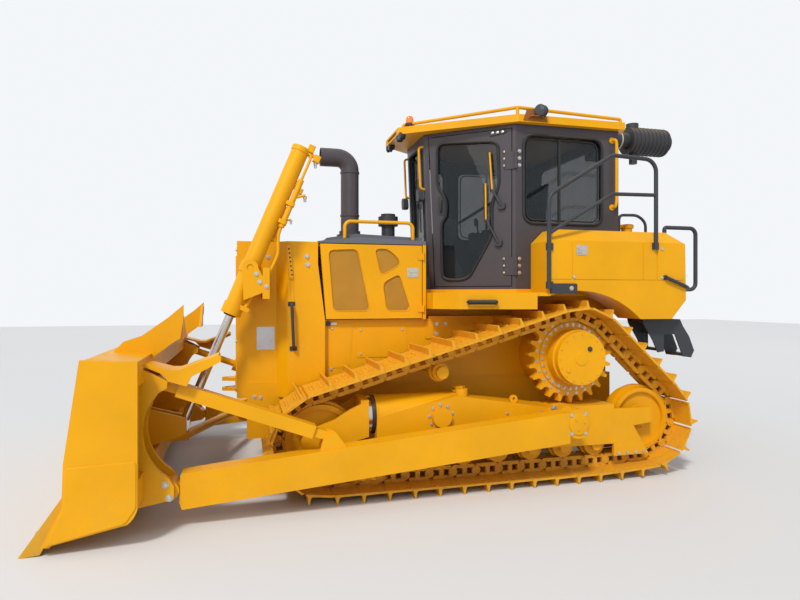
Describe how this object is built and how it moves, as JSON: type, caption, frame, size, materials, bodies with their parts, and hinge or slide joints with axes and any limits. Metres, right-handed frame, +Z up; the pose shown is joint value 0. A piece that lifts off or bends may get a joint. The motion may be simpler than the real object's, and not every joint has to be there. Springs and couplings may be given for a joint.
{
  "type": "bulldozer",
  "caption": "Yellow crawler bulldozer with raised sprockets, enclosed cab, straight blade on outside push arms, and lift cylinders on the nose",
  "frame": {"origin": "On the ground under the middle of the machine's overall box", "axes": "+X forward to the blade, +Y to the machine's left, +Z up"},
  "size_m": [5.573, 3.4, 3.344],
  "materials": {
    "yellow": "painted, dusty",
    "cab_grey": "dark grey paint, lightly dusty",
    "track_steel": "yellow paint worn down to rusty steel",
    "edge_steel": "scoured",
    "black_paint": "satin black",
    "chrome_rod": "polished",
    "tinted_glass": "clear, lightly tinted",
    "black_plastic": "matte",
    "seat_trim": "matte"
  },
  "bodies": {
    "chassis": {"cab_glass": "tinted_glass", "cab_platform": "yellow", "cab_shell": "cab_grey", "console": "black_plastic", "cylinder_yokes": "yellow", "engine": "black_paint", "exhaust_stack": "cab_grey", "fender_box_left": "yellow", "fender_box_right": "yellow", "final_drives": "yellow", "fuel_tank": "yellow", "grille": "black_paint", "guard_rails": "black_paint", "hood": "yellow", "hood_rail": "yellow", "idler_forks": "yellow", "idlers": "track_steel", "main_frame": "yellow", "operator_seat": "seat_trim", "precleaner": "black_plastic", "radiator_guard": "yellow", "rear_filter": "black_plastic", "rear_housing": "yellow", "rear_steps": "black_paint", "rollers": "track_steel", "roof": "yellow", "roof_rails": "yellow", "sprockets": "track_steel", "track_frame_left": "yellow", "track_frame_right": "yellow", "track_left": "track_steel", "track_right": "track_steel"},
    "blade_frame": {"push_arm_left": "yellow", "push_arm_right": "yellow", "blade": "yellow", "cutting_edge": "edge_steel", "blade_braces": "yellow"},
    "lift_barrel_left": {"lift_barrel_left": "yellow"},
    "lift_barrel_right": {"lift_barrel_right": "yellow"},
    "lift_rod_left": {"lift_rod_left": "chrome_rod"},
    "lift_rod_right": {"lift_rod_right": "chrome_rod"},
    "cab_door_left": {"cab_door_left": "cab_grey", "cab_door_glass_left": "tinted_glass"},
    "cab_door_right": {"cab_door_right": "cab_grey", "cab_door_glass_right": "tinted_glass"},
    "engine_door_left": {"engine_door_left": "yellow"},
    "engine_door_right": {"engine_door_right": "yellow"}
  },
  "joints": [
    {"name": "blade_lift", "type": "hinge", "parent": "chassis", "child": "blade_frame", "pos_m": [-1.1255, 0, 0.554], "axis": [0, -1, 0], "range_deg": [-6.5, 15]},
    {"name": "lift_barrel_left_swing", "type": "hinge", "parent": "chassis", "child": "lift_barrel_left", "pos_m": [1.4265, 0.75, 1.804], "axis": [0, -1, 0], "range_deg": [-7, 16]},
    {"name": "lift_rod_left_stroke", "type": "slide", "parent": "lift_barrel_left", "child": "lift_rod_left", "axis": [0.3833, 0, -0.9236], "range_m": [-0.75, 0.33]},
    {"name": "lift_barrel_right_swing", "type": "hinge", "parent": "chassis", "child": "lift_barrel_right", "pos_m": [1.4265, -0.75, 1.804], "axis": [0, -1, 0], "range_deg": [-7, 16]},
    {"name": "lift_rod_right_stroke", "type": "slide", "parent": "lift_barrel_right", "child": "lift_rod_right", "axis": [0.3833, 0, -0.9236], "range_m": [-0.75, 0.33]},
    {"name": "cab_door_left_hinge", "type": "hinge", "parent": "chassis", "child": "cab_door_left", "pos_m": [-0.8388, 0.871, 2.312], "axis": [0, 0, 1], "range_deg": [0, 85]},
    {"name": "cab_door_right_hinge", "type": "hinge", "parent": "chassis", "child": "cab_door_right", "pos_m": [-0.8388, -0.871, 2.312], "axis": [0, 0, -1], "range_deg": [0, 85]},
    {"name": "engine_door_left_hinge", "type": "hinge", "parent": "chassis", "child": "engine_door_left", "pos_m": [-0.0635, 0.6303, 1.705], "axis": [0, 0, 1], "range_deg": [0, 75]},
    {"name": "engine_door_right_hinge", "type": "hinge", "parent": "chassis", "child": "engine_door_right", "pos_m": [-0.0635, -0.6303, 1.705], "axis": [0, 0, -1], "range_deg": [0, 75]}
  ],
  "couplings": [
    {"joint": "lift_barrel_left_swing", "follows": "blade_lift", "ratio": 1.04},
    {"joint": "lift_rod_left_stroke", "follows": "blade_lift", "m_per_rad": -2.82},
    {"joint": "lift_barrel_right_swing", "follows": "blade_lift", "ratio": 1.04},
    {"joint": "lift_rod_right_stroke", "follows": "blade_lift", "m_per_rad": -2.82}
  ]
}
